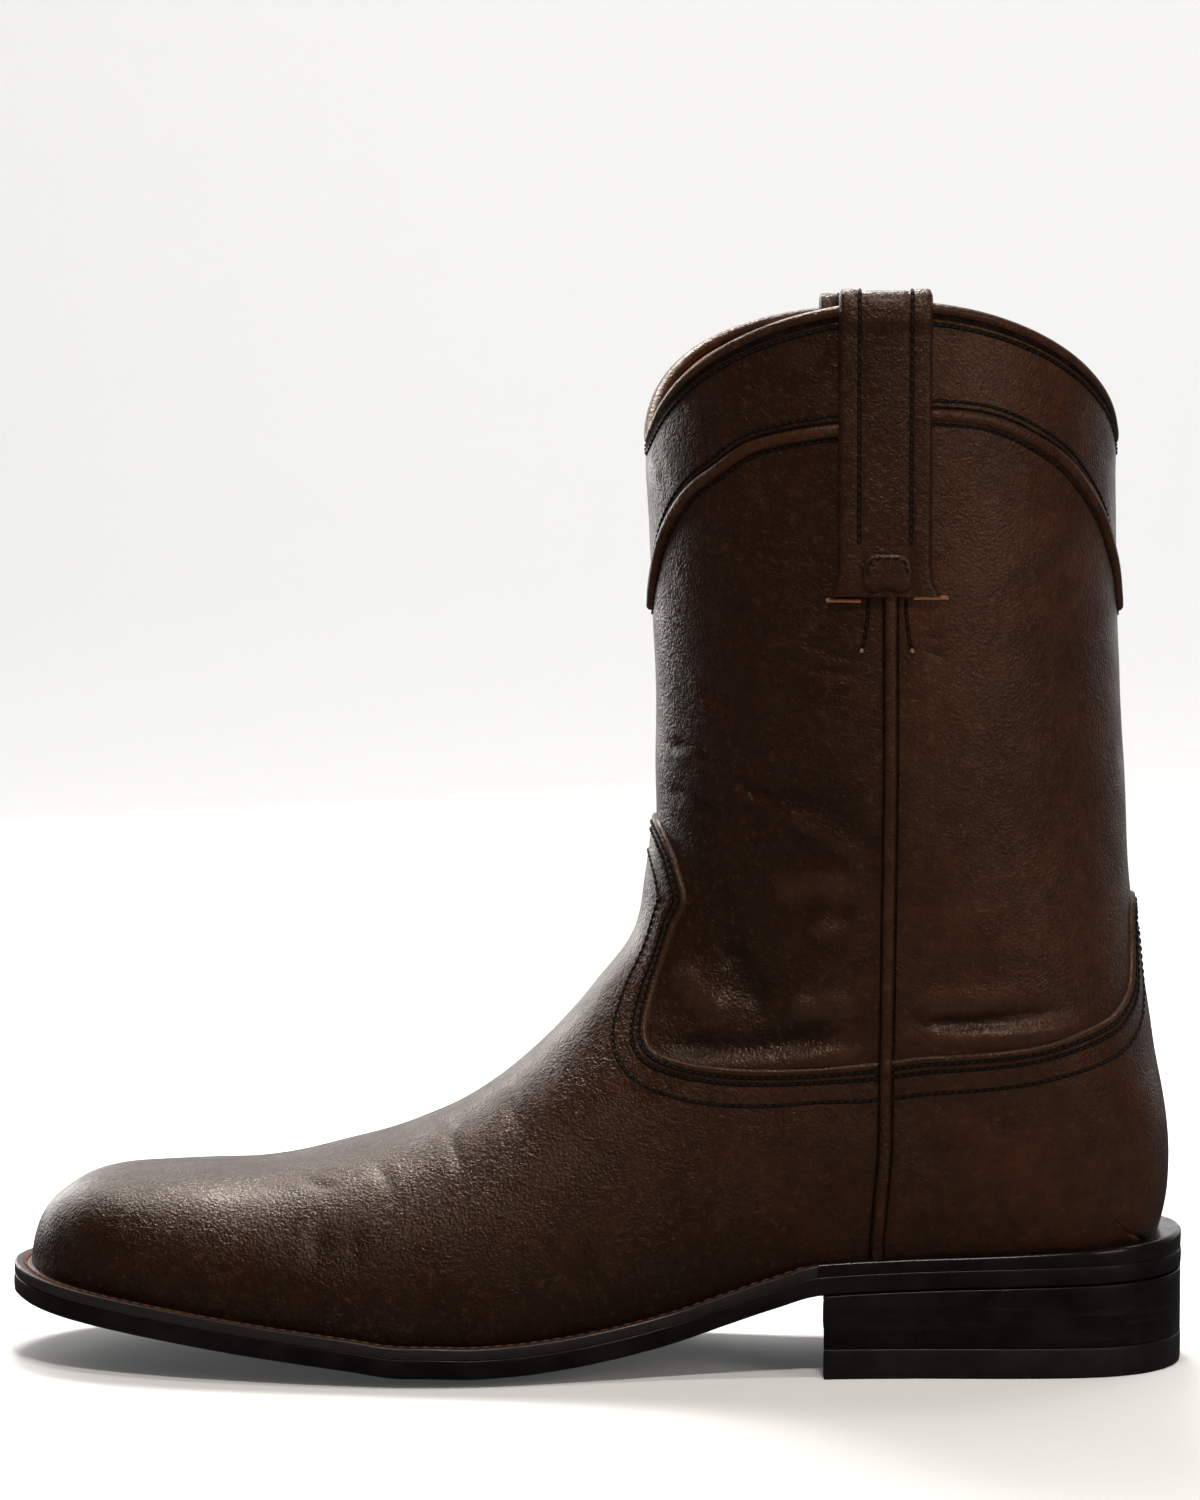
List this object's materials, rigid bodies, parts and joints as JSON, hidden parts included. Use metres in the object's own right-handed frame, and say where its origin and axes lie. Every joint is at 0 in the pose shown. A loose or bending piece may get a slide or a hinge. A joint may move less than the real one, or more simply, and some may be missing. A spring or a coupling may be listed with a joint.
{
  "type": "roper boot",
  "caption": "Dark brown leather roper boot for the left foot, with a scalloped yoke, pull straps, raised side seams, stitched welt and a low stacked heel",
  "frame": {"origin": "middle of the heel's underside, on the floor", "axes": "toe towards -X, outside of the foot towards -Y, collar towards +Z"},
  "size_m": [0.3082, 0.1134, 0.2814],
  "materials": {
    "upper_leather": "satin, fine grain, creased",
    "insole_leather": "matt",
    "outsole_rubber": "satin edge",
    "welt_leather": "satin, stitched",
    "rand": "glossy black edge dressing",
    "heel_stack": "stacked layers with black dressing",
    "heel_rubber": "matt",
    "binding_leather": "satin",
    "piping_leather": "satin",
    "strap_leather": "satin"
  },
  "bodies": {
    "root": {"upper": "upper_leather", "insole": "insole_leather", "outsole": "outsole_rubber", "welt": "welt_leather", "heel_rand": "rand", "heel_stack": "heel_stack", "heel_cap": "heel_rubber", "collar_binding": "binding_leather", "yoke_piping_front": "piping_leather", "yoke_piping_back": "piping_leather", "side_piping_lateral": "piping_leather", "side_piping_medial": "piping_leather", "pull_strap_lateral": "strap_leather", "pull_strap_medial": "strap_leather"}
  },
  "joints": []
}
